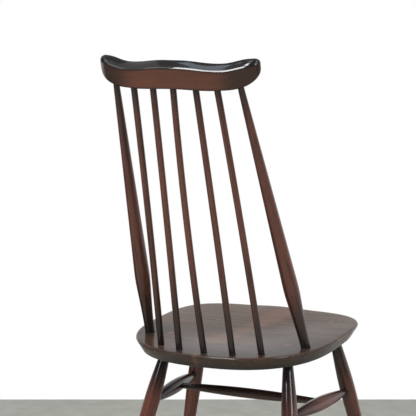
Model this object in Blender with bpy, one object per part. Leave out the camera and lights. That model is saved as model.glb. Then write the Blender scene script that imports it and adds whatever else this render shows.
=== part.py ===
"""A stick-back dining chair of dark-stained wood: a saddled seat board on four splayed, turned legs that an H
of swelling stretchers ties, two double-tapered posts and five slim sticks that lean back from the seat, and a
bent top rail with a waved edge and horned ends.

Metres, +Z up. The sitter looks along -Y, so +X is the chair's left. The chair is modelled round the middle of
its seat and then moved, so that the origin is the middle of its footprint on the floor."""

from math import atan2, copysign, cos, pi, radians, sin, sqrt, tan, tau

import bmesh
import bpy
from mathutils import Matrix, Vector

# Clearance that two pieces keep where they meet
CLEARANCE = 0.0003

# Seat board: its outline is two half superellipses, which meet where it is widest
SEAT_HEIGHT = 0.434
SEAT_FALL_DEG = 3.2
SEAT_WIDEST_AT = 0.0035
SEAT_HALF_WIDTH = 0.2015
SEAT_REAR_REACH = 0.21
SEAT_FRONT_REACH = 0.183
SEAT_REAR_SQUARENESS = 2.4
SEAT_FRONT_SQUARENESS = 4.0
SEAT_THICKNESS = 0.026
SEAT_EDGE_SLOPE_DEG = 26.0
SEAT_TOP_ARRIS = 0.0035
SEAT_BOTTOM_ARRIS = 0.0035
SADDLE_DEPTH = 0.006
POMMEL_RISE = 0.001
POMMEL_HALF_WIDTH = 0.082
THIGH_DROP = 0.0015

# Legs, turned, with the swell where the stretchers enter: how far their tops stand in from the seat's side
# and from its front or rear end, and how far they splay out from there to the floor
FRONT_LEG_INSET = (0.0625, 0.0785)
FRONT_LEG_SPLAY = (0.0955, 0.0695)
REAR_LEG_INSET = (0.0785, 0.1345)
REAR_LEG_SPLAY = (0.075, 0.134)
LEG_TENON_RADIUS = 0.0095
LEG_SWELL_RADIUS = 0.0155
LEG_SHIN_RADIUS = 0.0128
LEG_SHIN_HEIGHT = 0.195
LEG_FOOT_RADIUS = 0.009
FOOT_BEVEL = 0.0015

# Stretchers, level, swelling to their middle
STRETCHER_HEIGHT = 0.298
STRETCHER_TENON_RADIUS = 0.006
STRETCHER_TENON_PAST_AXIS = 0.004
SIDE_STRETCHER_RADIUS = 0.014
CROSS_STRETCHER_RADIUS = 0.0103
CROSS_STRETCHER_AHEAD = 0.565
CROSS_TENON_RADIUS = 0.0058
CROSS_TENON_PAST_AXIS = 0.003

# Back posts and sticks: their feet follow the seat's rim, and their heads are evenly spaced in the rail
BACK_ROW_INSET = 0.026
STICK_FOOT_STEP_DEG = 16.3
POST_FOOT_DEG = 63.3
HEAD_SPACING = 0.0414
POST_FOOT_RADIUS = 0.0093
POST_SWELL_RADIUS = 0.0143
POST_SWELL_START = 0.112
POST_SWELL_END = 0.158
POST_HEAD_RADIUS = 0.0058
STICK_FOOT_RADIUS = 0.0064
STICK_HEAD_RADIUS = 0.0061
STICK_SOCKET_DEPTH = 0.016
SWELL_FULLNESS = 1.2  # a turned swell's steepest rise, against the straight line's

# How far the hand-fitted row strays from even spacing and how far its sticks bow, from left post to right
FOOT_STRAY_DEG = (-1.0, -1.5, -0.5, 0, -0.5, -1.0, -0.5)
HEAD_STRAY = (0.0025, 0.0005, -0.0005, 0, -0.0015, 0.001, 0.0015)
BOW_TO_LEFT = (0, -0.002, -0.001, 0.004, -0.001, -0.002, 0)

# Wedges that spread the through tenons
WEDGE_THICK_END = 0.0024
WEDGE_THIN_END = 0.001
WEDGE_LENGTH = 0.016

# Top rail: bent to an arc in plan and leaning back, its outline given as heights above its lowest line
RAIL_LEAN_DEG = 14.0
RAIL_RADIUS = 0.4
RAIL_SETBACK = 0.3111
RAIL_HEIGHT = 0.9213
RAIL_HALF_LENGTH = 0.163
RAIL_THICKNESS = 0.021
RAIL_CREST = 0.0525
RAIL_CREST_HALF_FLAT = 0.012
RAIL_DIP = 0.0452
RAIL_DIP_AT = 0.095
RAIL_HORN = 0.0515
RAIL_HORN_AT = 0.147
RAIL_BELLY_RISE = 0.0034
RAIL_BELLY_HALF_WIDTH = 0.08
RAIL_TOP_FALL = 0.0095
RAIL_TOP_CROWN = 0.0008
RAIL_EDGE_RADIUS = 0.004
RAIL_BEVEL_WIDTH = 0.003
RAIL_BEVEL_TURN_DEG = 45.0
RAIL_SOCKET_DEPTH = 0.026

# Ears of the top rail: how each side turns in, over a length and by a depth, and how the section softens
EAR_TOP_LENGTH = 0.012
EAR_TOP_DROP = 0.009
EAR_UNDERCUT_LENGTH = 0.0635
EAR_UNDERCUT_RISE = 0.034
EAR_SWEEP_LENGTH = 0.026
EAR_SWEEP_DEPTH = 0.0145
EAR_FRONT_LENGTH = 0.006
EAR_FRONT_DEPTH = 0.004
EAR_FULL_HEIGHT = 0.0335
EAR_SOFT_LENGTH = 0.035
EAR_SOFTNESS = 0.7
EAR_SQUARENESS = 3.5
EAR_CROWN = 0.003

# Facets
LEG_SIDES = 20
POST_SIDES = 18
STICK_SIDES = 14
STICK_STEPS = 8
STRETCHER_SIDES = 18
SEAT_SIDES = 80
SEAT_RING_SHARES = (0.07, 0.2, 0.34, 0.48, 0.61, 0.73, 0.83, 0.91, 0.96)
RAIL_STATIONS = 44
RAIL_TOP_STEPS = 3
ARC_STEPS = 4
SHARP_FROM_DEG = 35

UP = Vector((0, 0, 1))
PAST = 0.01  # how far cutters and blanks run past what they cut or are cut by
POST_PLACE = 3  # places in the back row run from 3, the left post, through 0, the middle stick, to -3
BACK_PLACES = range(-POST_PLACE, POST_PLACE + 1)


def clear_scene():
    for thing in list(bpy.data.objects):
        bpy.data.objects.remove(thing, do_unlink=True)


def wood(name, colour, roughness):
    """A stained and lacquered wood; the colour is linear RGB."""
    material = bpy.data.materials.new(name)
    material.use_nodes = True
    shader = material.node_tree.nodes["Principled BSDF"]
    shader.inputs["Base Color"].default_value = (*colour, 1)
    shader.inputs["Roughness"].default_value = roughness
    shader.inputs["Metallic"].default_value = 0
    return material


def place(name, mesh_edit, material, frame=None):
    """Makes an object of the mesh under edit, in its own frame, as a child of the chair's empty."""
    bmesh.ops.recalc_face_normals(mesh_edit, faces=mesh_edit.faces)
    mesh = bpy.data.meshes.new(name)
    mesh_edit.to_mesh(mesh)
    mesh_edit.free()
    thing = bpy.data.objects.new(name, mesh)
    bpy.context.scene.collection.objects.link(thing)
    thing.parent = bpy.data.objects["chair"]
    thing.matrix_local = frame or Matrix()
    if material:
        mesh.materials.append(material)
        mesh.shade_smooth()
        mesh.set_sharp_from_angle(angle=radians(SHARP_FROM_DEG))
    return thing


def axis_frame(start, end):
    """A frame at start, with its +Z along the line to end and its +Y as near as can be to the chair's +Y."""
    along = (end - start).normalized()
    side = Vector((0, 1, 0)).cross(along).normalized()
    ahead = along.cross(side)
    turn = Matrix((side, ahead, along)).transposed().to_4x4()
    return Matrix.Translation(start) @ turn


def lathe(profile, sides):
    """Turns a profile of (distance along the axis, radius) into a closed solid round +Z."""
    edit = bmesh.new()
    points = [edit.verts.new((radius, 0, along)) for along, radius in profile]
    edges = [edit.edges.new(pair) for pair in zip(points, points[1:])]
    bmesh.ops.spin(edit, geom=points + edges, cent=(0, 0, 0), axis=UP, angle=tau, steps=sides)
    bmesh.ops.remove_doubles(edit, verts=edit.verts, dist=1e-6)
    bmesh.ops.holes_fill(edit, edges=edit.edges)
    return edit


def saw(edit, frame, point, normal, bevel=0):
    """Cuts off what lies beyond a plane of the chair's frame, closes the cut and may bevel its edge."""
    back = frame.inverted()
    geometry = edit.verts[:] + edit.edges[:] + edit.faces[:]
    plane = {"plane_co": back @ point, "plane_no": back.to_3x3() @ normal}
    bmesh.ops.bisect_plane(edit, geom=geometry, clear_outer=True, **plane)
    rim = [edge for edge in edit.edges if edge.is_boundary]
    bmesh.ops.holes_fill(edit, edges=rim)
    if bevel:
        bmesh.ops.bevel(edit, geom=rim, offset=bevel, segments=2, profile=0.5, affect="EDGES")


def loft(rings):
    """A closed solid through rings of equally many points, with a flat face at each end."""
    edit = bmesh.new()
    loops = [[edit.verts.new(point) for point in ring] for ring in rings]
    for near, far in zip(loops, loops[1:]):
        for i in range(len(near)):
            j = (i + 1) % len(near)
            edit.faces.new((near[i], near[j], far[j], far[i]))
    edit.faces.new(loops[0])
    edit.faces.new(loops[-1])
    return edit


def blend(knots, along):
    """Height at a distance on the smooth curve through knots of (distance, height, slope)."""
    for (x0, y0, m0), (x1, y1, m1) in zip(knots, knots[1:]):
        if along <= x1 or (x1, y1, m1) == knots[-1]:
            break
    span = x1 - x0
    t = (along - x0) / span
    left = (1 + 2 * t) * (1 - t) ** 2 * y0 + t * (1 - t) ** 2 * span * m0
    right = t * t * (3 - 2 * t) * y1 + t * t * (t - 1) * span * m1
    return left + right


def even_steps(start, end, count):
    return [start + (end - start) * i / count for i in range(count + 1)]


def ease(share):
    """Runs from 0 to 1 with level ends, and stays there outside."""
    return (1 - cos(pi * min(max(share, 0), 1))) / 2


def cut(thing, name, bits):
    """Takes a list of (mesh under edit, frame) bits out of an object with one Boolean."""
    joined = bmesh.new()
    for bit, frame in bits:
        bmesh.ops.recalc_face_normals(bit, faces=bit.faces)
        bmesh.ops.transform(bit, matrix=frame, verts=bit.verts)
        scratch = bpy.data.meshes.new("bit")
        bit.to_mesh(scratch)
        bit.free()
        joined.from_mesh(scratch)
        bpy.data.meshes.remove(scratch)
    cutter = place(name, joined, None)
    cutter.hide_render = True
    cutter.display_type = "WIRE"
    modifier = thing.modifiers.new(name, "BOOLEAN")
    modifier.operation = "DIFFERENCE"
    modifier.solver = "EXACT"
    modifier.object = cutter


def drill(start, end, radius, sides):
    """A bit for a hole of a peg's radius and its clearance, from start to end."""
    length = (end - start).length
    bore = radius + CLEARANCE
    return lathe([(0, bore), (length, bore)], sides), axis_frame(start, end)


def superellipse_reach(turn, half_length, half_width, power):
    """How far a superellipse is from its middle, at a turn from its length."""
    share = (abs(cos(turn)) / half_length) ** power + (abs(sin(turn)) / half_width) ** power
    return share ** (-1 / power)


# The seat's surfaces, which the legs, posts and sticks take their places from


def rim_point(angle):
    """The seat's outline at an angle from the rear centre, seen from above."""
    reach = SEAT_REAR_REACH if cos(angle) > 0 else SEAT_FRONT_REACH
    power = SEAT_REAR_SQUARENESS if cos(angle) > 0 else SEAT_FRONT_SQUARENESS
    radius = superellipse_reach(angle, reach, SEAT_HALF_WIDTH, power)
    return Vector((radius * sin(angle), SEAT_WIDEST_AT + radius * cos(angle)))


def inset_point(angle, inset):
    """The outline's point moved square to the outline and inwards."""
    step = 0.01
    run = rim_point(angle + step) - rim_point(angle - step)
    inwards = Vector((run.y, -run.x)).normalized()
    return rim_point(angle) + inwards * inset


def board_plane(y):
    """The plane that the seat board's blank had as its top face."""
    return SEAT_HEIGHT - tan(radians(SEAT_FALL_DEG)) * y


def seat_top(x, y):
    """The seat's top face: hollowed to the middle, raised in the middle of the front and eased beside it."""
    middle = Vector((0, SEAT_WIDEST_AT))
    ahead = Vector((x, y)) - middle
    rim = rim_point(atan2(ahead.x, ahead.y)) - middle
    reach = ahead.length / rim.length
    hollow = SADDLE_DEPTH * (1 - min(reach, 1) ** 2) ** 2
    front = ease(-y / SEAT_FRONT_REACH)
    pommel = POMMEL_RISE * front * (1 - ease(abs(x) / POMMEL_HALF_WIDTH))
    thigh = THIGH_DROP * front * ease(abs(x) / POMMEL_HALF_WIDTH)
    return board_plane(y) - hollow + pommel - thigh


def seat_underside(y):
    return board_plane(y) - SEAT_THICKNESS


def on_seat(x, y):
    return Vector((x, y, seat_top(x, y)))


def seat_top_normal(x, y):
    step = 0.004
    slope_x = (seat_top(x + step, y) - seat_top(x - step, y)) / (2 * step)
    slope_y = (seat_top(x, y + step) - seat_top(x, y - step)) / (2 * step)
    return Vector((-slope_x, -slope_y, 1)).normalized()


def meet_underside(start, end):
    """Where a line leaves the seat board below."""
    fall = tan(radians(SEAT_FALL_DEG))
    run = end - start
    share = (seat_underside(start.y) - start.z) / (run.z + fall * run.y)
    return start + run * share


def seat_rings():
    """Rings of the seat board from the middle of its top, out over the rim and in again below."""
    angles = [tau * i / SEAT_SIDES for i in range(SEAT_SIDES)]
    slope = radians(SEAT_EDGE_SLOPE_DEG)
    rings = []
    middle = Vector((0, SEAT_WIDEST_AT))
    for share in SEAT_RING_SHARES:
        ring = [middle.lerp(inset_point(a, SEAT_TOP_ARRIS), share) for a in angles]
        rings.append([on_seat(p.x, p.y) for p in ring])
    for turn in even_steps(0, pi / 2 + slope, ARC_STEPS):
        inset = SEAT_TOP_ARRIS * (1 - sin(turn))
        drop = SEAT_TOP_ARRIS * (1 - cos(turn))
        ring = [(inset_point(a, inset), inset_point(a, SEAT_TOP_ARRIS)) for a in angles]
        rings.append([Vector((p.x, p.y, seat_top(q.x, q.y) - drop)) for p, q in ring])
    edge_inset = (SEAT_THICKNESS - SEAT_BOTTOM_ARRIS * (1 - sin(slope))) * tan(slope)
    for turn in even_steps(slope, pi / 2, ARC_STEPS - 1):
        inset = edge_inset + SEAT_BOTTOM_ARRIS * (cos(slope) - cos(turn))
        rise = SEAT_BOTTOM_ARRIS * (1 - sin(turn))
        ring = [inset_point(a, inset) for a in angles]
        rings.append([Vector((p.x, p.y, seat_underside(p.y) + rise)) for p in ring])
    return rings


# The lines that the long pieces follow


def leg_line(end, side):
    """From the seat's top face to the floor."""
    if end == "front":
        inset, splay = FRONT_LEG_INSET, FRONT_LEG_SPLAY
        y = SEAT_WIDEST_AT - SEAT_FRONT_REACH + inset[1]
        foot_y = y - splay[1]
    else:
        inset, splay = REAR_LEG_INSET, REAR_LEG_SPLAY
        y = SEAT_WIDEST_AT + SEAT_REAR_REACH - inset[1]
        foot_y = y + splay[1]
    x = SEAT_HALF_WIDTH - inset[0]
    return on_seat(side * x, y), Vector((side * (x + splay[0]), foot_y, 0))


def stretcher_joint(end, side):
    """The point of a leg's axis that the side stretcher's axis meets."""
    top, foot = leg_line(end, side)
    return top.lerp(foot, (top.z - STRETCHER_HEIGHT) / top.z)


def cross_joint(side):
    return stretcher_joint("rear", side).lerp(stretcher_joint("front", side), CROSS_STRETCHER_AHEAD)


def rail_point(along, height, behind):
    """A point of the rail: along its arc, up its leaning face and behind its middle sheet."""
    lean = radians(RAIL_LEAN_DEG)
    turn = along / RAIL_RADIUS
    x = (RAIL_RADIUS + behind) * sin(turn)
    back = (RAIL_RADIUS + behind) * cos(turn) - RAIL_RADIUS
    y = RAIL_SETBACK + back * cos(lean) + height * sin(lean)
    z = RAIL_HEIGHT - back * sin(lean) + height * cos(lean)
    return Vector((x, y, z))


def is_post(place_in_row):
    return abs(place_in_row) == POST_PLACE


def back_line(place_in_row):
    """From the seat's top face to the middle of the socket in the rail; place 0 is the middle stick."""
    index = POST_PLACE - place_in_row
    even = place_in_row * STICK_FOOT_STEP_DEG
    if is_post(place_in_row):
        even = copysign(POST_FOOT_DEG, place_in_row)
    spot = inset_point(radians(even + FOOT_STRAY_DEG[index]), BACK_ROW_INSET)
    foot = on_seat(spot.x, spot.y)
    along = place_in_row * HEAD_SPACING + HEAD_STRAY[index]
    return foot, rail_point(along, rail_bottom(along) + RAIL_SOCKET_DEPTH / 2, 0)


def head_end(place_in_row, gap):
    """Where a post's or stick's axis ends in its socket, short of the bottom by a gap."""
    foot, aim = back_line(place_in_row)
    return aim + (aim - foot).normalized() * (RAIL_SOCKET_DEPTH / 2 - gap)


# Top rail


def rail_bottom(along):
    """Height of the rail's lower edge: it rises a little in the middle and sweeps up to the ears."""
    height = RAIL_BELLY_RISE * (1 - ease(abs(along) / RAIL_BELLY_HALF_WIDTH))
    return height + rounded_off(along, EAR_UNDERCUT_LENGTH, EAR_UNDERCUT_RISE)


def rail_top(along):
    """Height of the rail's upper edge: crest, dip and horn, with the horn's corner rounded."""
    size = abs(along)
    dip = ease((size - RAIL_CREST_HALF_FLAT) / (RAIL_DIP_AT - RAIL_CREST_HALF_FLAT))
    horn = ease((size - RAIL_DIP_AT) / (RAIL_HORN_AT - RAIL_DIP_AT))
    height = RAIL_CREST + (RAIL_DIP - RAIL_CREST) * dip + (RAIL_HORN - RAIL_DIP) * horn
    return height - rounded_off(along, EAR_TOP_LENGTH, EAR_TOP_DROP)


def rounded_off(along, length, depth):
    """How far a face has turned in, where the rail's end is rounded over a length by a depth."""
    share = (abs(along) - RAIL_HALF_LENGTH + length) / length
    return depth * (1 - sqrt(1 - min(max(share, 0), 1) ** 2))


def rail_faces(along):
    """How far the rear and front faces lie behind the middle sheet; at the ears they turn in."""
    rear = RAIL_THICKNESS / 2 - rounded_off(along, EAR_SWEEP_LENGTH, EAR_SWEEP_DEPTH)
    front = -RAIL_THICKNESS / 2 + rounded_off(along, EAR_FRONT_LENGTH, EAR_FRONT_DEPTH)
    return rear, front


def arc(centre, radius, start_deg, end_deg, steps):
    """Points (behind, height) of an arc; 0 degrees points to the rear and 90 up."""
    turns = even_steps(radians(start_deg), radians(end_deg), steps)
    return [(centre[0] + radius * cos(t), centre[1] + radius * sin(t)) for t in turns]


def softened(point, middle, half_thickness, half_height, softness):
    """A section's point, moved some of the way to the superellipse that fills the section's box."""
    away = Vector(point) - middle
    reach = superellipse_reach(atan2(away.y, away.x), half_thickness, half_height, EAR_SQUARENESS)
    return middle + away.lerp(away.normalized() * reach, softness)


def rail_section(along):
    """The rail's section: flat faces, soft lower edges, and a top that falls to a narrow bevel at the rear.
    At the ears the edges shrink with the section, the top grows fuller and the whole of it softens."""
    low, high = rail_bottom(along), rail_top(along)
    rear, front = rail_faces(along)
    share = min((high - low) / EAR_FULL_HEIGHT, (rear - front) / RAIL_THICKNESS, 1)
    edge, bevel, fall = RAIL_EDGE_RADIUS * share, RAIL_BEVEL_WIDTH * share, RAIL_TOP_FALL * share
    soft = ease((abs(along) - RAIL_HALF_LENGTH + EAR_SOFT_LENGTH) / EAR_SOFT_LENGTH)
    crown = RAIL_TOP_CROWN + (EAR_CROWN - RAIL_TOP_CROWN) * soft
    top_turn = atan2(rear - front - edge, fall)
    turn = radians(RAIL_BEVEL_TURN_DEG)
    drop = bevel * sin(top_turn - turn) / sin(top_turn)
    lower = Vector((rear, high - fall - drop))
    upper = lower + Vector((-sin(turn), cos(turn))) * bevel
    points = arc((rear - edge, low + edge), edge, -90, 0, ARC_STEPS)
    points += [lower, upper]
    stop = Vector((front + edge, high))
    for step in even_steps(0, 1, RAIL_TOP_STEPS)[1:-1]:
        points.append(upper.lerp(stop, step) + Vector((0, crown * share * sin(pi * step))))
    points += arc((front + edge, high - edge), edge, 90, 180, ARC_STEPS)
    points += arc((front + edge, low + edge), edge, 180, 270, ARC_STEPS)
    middle = Vector((rear + front, high + low)) / 2
    half_size = (rear - front) / 2, (high - low) / 2
    points = [softened(point, middle, *half_size, EAR_SOFTNESS * soft) for point in points]
    return [rail_point(along, height, behind) for behind, height in points]


def make_top_rail(material):
    shares = even_steps(-pi / 2, pi / 2, RAIL_STATIONS)
    rail = place("top_rail", loft([rail_section(RAIL_HALF_LENGTH * sin(s)) for s in shares]), material)
    bits = []
    for number in BACK_PLACES:
        foot, aim = back_line(number)
        radius = POST_HEAD_RADIUS if is_post(number) else STICK_HEAD_RADIUS
        sides = POST_SIDES if is_post(number) else STICK_SIDES
        end = head_end(number, 0)
        below = aim - (aim - foot).normalized() * (RAIL_SOCKET_DEPTH + PAST)
        bits.append(drill(below, end, radius, sides))
    cut(rail, "rail_sockets", bits)


# Posts and sticks


def make_post(name, number, material):
    foot, _ = back_line(number)
    head = head_end(number, CLEARANCE)
    below = meet_underside(foot, foot * 2 - head)
    start = below + (below - foot).normalized() * PAST
    frame = axis_frame(start, head)
    base = (foot - start).length
    length = (head - start).length
    neck = length - RAIL_SOCKET_DEPTH
    swell_start, swell_end = base + POST_SWELL_START, base + POST_SWELL_END
    rise = SWELL_FULLNESS * (POST_SWELL_RADIUS - POST_FOOT_RADIUS) / POST_SWELL_START
    taper = (POST_HEAD_RADIUS - POST_SWELL_RADIUS) / (neck - swell_end)
    knots = (
        (base, POST_FOOT_RADIUS, 0),
        (swell_start, POST_SWELL_RADIUS, rise),
        (swell_end, POST_SWELL_RADIUS, taper),
        (neck, POST_HEAD_RADIUS, taper),
    )
    shank = even_steps(base, swell_start, 6)[1:] + even_steps(swell_start, swell_end, 6)[1:]
    profile = [(0, POST_FOOT_RADIUS)] + [(s, blend(knots, s)) for s in shank]
    profile += [(neck, POST_HEAD_RADIUS), (length, POST_HEAD_RADIUS)]
    edit = lathe(profile, POST_SIDES)
    saw(edit, frame, below, -seat_plane_normal())
    post = place(name, edit, material, frame)
    cut(post, name + "_kerf", [kerf_bit(below, foot)])


def make_stick(name, number, material):
    foot, _ = back_line(number)
    head = head_end(number, CLEARANCE)
    start = foot + (foot - head).normalized() * (STICK_SOCKET_DEPTH - CLEARANCE)
    length = (head - start).length
    neck = length - RAIL_SOCKET_DEPTH
    shank = neck - STICK_SOCKET_DEPTH
    taper = (STICK_HEAD_RADIUS - STICK_FOOT_RADIUS) / shank
    profile = [(0, STICK_FOOT_RADIUS)]
    for along in even_steps(0, shank, STICK_STEPS):
        profile.append((STICK_SOCKET_DEPTH + along, STICK_FOOT_RADIUS + taper * along))
    profile.append((length, STICK_HEAD_RADIUS))
    edit = lathe(profile, STICK_SIDES)
    for vertex in edit.verts:
        share = min(max((vertex.co.z - STICK_SOCKET_DEPTH) / shank, 0), 1)
        vertex.co.x += BOW_TO_LEFT[POST_PLACE - number] * 4 * share * (1 - share)
    place(name, edit, material, axis_frame(start, head))


# Wedges and the saw kerfs that they are driven into


def seat_plane_normal():
    return Vector((0, sin(radians(SEAT_FALL_DEG)), cos(radians(SEAT_FALL_DEG))))


def wedge_solid(thick, thin, half_width, near, far):
    """A tapered slip along +Z, thin across X and wide along Y."""
    rings = []
    for along, breadth in ((near, thick), (far, thin)):
        corners = ((-1, -1), (1, -1), (1, 1), (-1, 1))
        rings.append([Vector((sx * breadth / 2, sy * half_width, along)) for sx, sy in corners])
    return loft(rings)


def kerf_bit(end, inner):
    """The slot for a wedge, from a tenon's end towards its inner part."""
    slope = (WEDGE_THICK_END - WEDGE_THIN_END) / WEDGE_LENGTH
    wide = WEDGE_THICK_END + 2 * CLEARANCE
    length = WEDGE_LENGTH + CLEARANCE
    half_width = LEG_SWELL_RADIUS
    slot = wedge_solid(wide + slope * PAST, wide - slope * length, half_width, -PAST, length)
    return slot, axis_frame(end, inner)


def make_wedge(name, end, inner, tenon_radius, face_normal, material):
    frame = axis_frame(end, inner)
    slope = (WEDGE_THICK_END - WEDGE_THIN_END) / WEDGE_LENGTH
    half_width = sqrt(tenon_radius**2 - (WEDGE_THICK_END / 2 + CLEARANCE) ** 2)
    edit = wedge_solid(WEDGE_THICK_END + slope * PAST, WEDGE_THIN_END, half_width, -PAST, WEDGE_LENGTH)
    saw(edit, frame, end, face_normal)
    place(name, edit, material, frame)


# Seat and what stands under it


def make_seat(material):
    seat = place("seat", loft(seat_rings()), material)
    bits = []
    for side in (1, -1):
        for end in ("front", "rear"):
            top, foot = leg_line(end, side)
            run = (foot - top).normalized()
            through = meet_underside(top, foot)
            bits.append(drill(top - run * PAST, through + run * PAST, LEG_TENON_RADIUS, LEG_SIDES))
    for number in BACK_PLACES:
        foot, aim = back_line(number)
        run = (foot - aim).normalized()
        if is_post(number):
            through = meet_underside(foot, foot + run)
            bits.append(drill(foot - run * PAST, through + run * PAST, POST_FOOT_RADIUS, POST_SIDES))
        else:
            bottom = foot + run * STICK_SOCKET_DEPTH
            bits.append(drill(foot - run * PAST, bottom, STICK_FOOT_RADIUS, STICK_SIDES))
    cut(seat, "seat_holes", bits)


def make_leg(name, end, side, material):
    top, foot = leg_line(end, side)
    run = (foot - top).normalized()
    start = top - run * PAST
    frame = axis_frame(start, foot + run * PAST)
    length = (foot - start).length
    lean = sqrt(1 - run.z**2) / abs(run.z)
    neck = (meet_underside(top, foot) - start).length + 2 * LEG_TENON_RADIUS * lean
    swell = (stretcher_joint(end, side) - start).length
    shin = length - LEG_SHIN_HEIGHT
    knots = (
        (neck, LEG_TENON_RADIUS, SWELL_FULLNESS * (LEG_SWELL_RADIUS - LEG_TENON_RADIUS) / (swell - neck)),
        (swell, LEG_SWELL_RADIUS, 0),
        (shin, LEG_SHIN_RADIUS, (LEG_FOOT_RADIUS - LEG_SWELL_RADIUS) / (length - swell)),
        (length, LEG_FOOT_RADIUS, (LEG_FOOT_RADIUS - LEG_SHIN_RADIUS) / LEG_SHIN_HEIGHT),
    )
    shank = even_steps(neck, swell, 5)[1:] + even_steps(swell, shin, 4)[1:] + even_steps(shin, length, 3)[1:]
    profile = [(0, LEG_TENON_RADIUS), (neck, LEG_TENON_RADIUS)] + [(s, blend(knots, s)) for s in shank]
    profile.append((length + PAST, LEG_FOOT_RADIUS))
    edit = lathe(profile, LEG_SIDES)
    saw(edit, frame, top, seat_top_normal(top.x, top.y))
    saw(edit, frame, foot, -UP, FOOT_BEVEL)
    leg = place(name, edit, material, frame)
    joint = stretcher_joint(end, side)
    other = stretcher_joint("rear" if end == "front" else "front", side)
    along = (other - joint).normalized()
    bottom = joint - along * (STRETCHER_TENON_PAST_AXIS + CLEARANCE)
    mouth = joint + along * (LEG_SWELL_RADIUS + PAST)
    socket = drill(bottom, mouth, STRETCHER_TENON_RADIUS, STRETCHER_SIDES)
    cut(leg, name + "_cuts", [kerf_bit(top, foot), socket])


def swelling_rod(start, end, bury_start, bury_end, past, tenon_radius, middle_radius):
    """A rod that swells between two pieces, with a round tenon that runs past the axis of each."""
    length = (end - start).length
    first, last = bury_start, length - bury_end
    profile = [(-past, tenon_radius), (first, tenon_radius)]
    for share in even_steps(0, 1, 12)[1:-1]:
        radius = tenon_radius + (middle_radius - tenon_radius) * sin(pi * share)
        profile.append((first + (last - first) * share, radius))
    profile += [(last, tenon_radius), (length + past, tenon_radius)]
    return lathe(profile, STRETCHER_SIDES), axis_frame(start, end)


def make_side_stretcher(name, side, material):
    rear, front = stretcher_joint("rear", side), stretcher_joint("front", side)
    edit, frame = swelling_rod(rear, front, LEG_SWELL_RADIUS, LEG_SWELL_RADIUS, STRETCHER_TENON_PAST_AXIS,
                               STRETCHER_TENON_RADIUS, SIDE_STRETCHER_RADIUS)
    stretcher = place(name, edit, material, frame)
    joint, other = cross_joint(side), cross_joint(-side)
    along = (other - joint).normalized()
    bottom = joint - along * (CROSS_TENON_PAST_AXIS + CLEARANCE)
    mouth = joint + along * (SIDE_STRETCHER_RADIUS + PAST)
    socket = drill(bottom, mouth, CROSS_TENON_RADIUS, STRETCHER_SIDES)
    cut(stretcher, name + "_socket", [socket])


def make_cross_stretcher(material):
    edit, frame = swelling_rod(cross_joint(1), cross_joint(-1), SIDE_STRETCHER_RADIUS, SIDE_STRETCHER_RADIUS,
                               CROSS_TENON_PAST_AXIS, CROSS_TENON_RADIUS, CROSS_STRETCHER_RADIUS)
    place("cross_stretcher", edit, material, frame)


def stand_on_origin(chair):
    """Moves the chair so that the middle of its footprint box is the origin."""
    bpy.context.view_layer.update()
    solids = [thing for thing in chair.children if not thing.hide_render]
    points = [thing.matrix_world @ v.co for thing in solids for v in thing.data.vertices]
    middle = (min(p.y for p in points) + max(p.y for p in points)) / 2
    chair.location = (0, -middle, 0)


def main():
    clear_scene()
    chair = bpy.data.objects.new("chair", None)
    bpy.context.scene.collection.objects.link(chair)
    frame_wood = wood("frame_wood", (0.075, 0.032, 0.022), 0.3)
    rail_wood = wood("rail_wood", (0.095, 0.04, 0.026), 0.28)
    seat_wood = wood("seat_wood", (0.085, 0.05, 0.037), 0.3)
    wedge_wood = wood("wedge_wood", (0.12, 0.062, 0.035), 0.4)
    make_seat(seat_wood)
    for side, hand in ((1, "left"), (-1, "right")):
        for end in ("front", "rear"):
            make_leg(f"{end}_{hand}_leg", end, side, frame_wood)
            top, foot = leg_line(end, side)
            face = seat_top_normal(top.x, top.y)
            make_wedge(f"{end}_{hand}_leg_wedge", top, foot, LEG_TENON_RADIUS, face, wedge_wood)
        make_side_stretcher(f"{hand}_side_stretcher", side, frame_wood)
        make_post(f"{hand}_back_post", POST_PLACE * side, frame_wood)
        foot, aim = back_line(POST_PLACE * side)
        below = meet_underside(foot, foot * 2 - aim)
        make_wedge(f"{hand}_back_post_wedge", below, foot, POST_FOOT_RADIUS, -seat_plane_normal(), wedge_wood)
    make_cross_stretcher(frame_wood)
    for number in range(1, 2 * POST_PLACE):
        make_stick(f"back_stick_{number}", POST_PLACE - number, frame_wood)
    make_top_rail(rail_wood)
    stand_on_origin(chair)


main()
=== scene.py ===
"""Looks for the stick-back dining chair: round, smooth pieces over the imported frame, stained and
lacquered wood, a pale floor, a white backdrop and soft lamps.

Metres, +Z up. The chair's sizes repeat those of its solids, so that each piece keeps its solid's form."""

from math import atan2, copysign, cos, degrees, hypot, pi, radians, sin, sqrt, tan, tau

import bmesh
import bpy
from mathutils import Matrix, Vector


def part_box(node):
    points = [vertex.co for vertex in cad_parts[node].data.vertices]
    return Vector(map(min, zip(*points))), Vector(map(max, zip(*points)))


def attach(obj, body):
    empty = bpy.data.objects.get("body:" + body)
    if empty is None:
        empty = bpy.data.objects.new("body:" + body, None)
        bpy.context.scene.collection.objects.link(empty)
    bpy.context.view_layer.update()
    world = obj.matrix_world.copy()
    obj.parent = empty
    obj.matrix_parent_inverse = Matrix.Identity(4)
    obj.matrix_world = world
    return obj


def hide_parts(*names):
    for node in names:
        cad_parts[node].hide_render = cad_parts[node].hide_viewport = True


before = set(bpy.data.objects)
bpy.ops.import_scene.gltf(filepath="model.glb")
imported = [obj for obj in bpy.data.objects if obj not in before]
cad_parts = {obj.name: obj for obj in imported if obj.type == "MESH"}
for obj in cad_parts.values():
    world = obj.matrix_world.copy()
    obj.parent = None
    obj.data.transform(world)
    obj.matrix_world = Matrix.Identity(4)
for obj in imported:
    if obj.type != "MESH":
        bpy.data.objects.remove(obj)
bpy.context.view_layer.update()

# Clearance of two pieces where they meet
CLEARANCE = 0.0003

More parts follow.
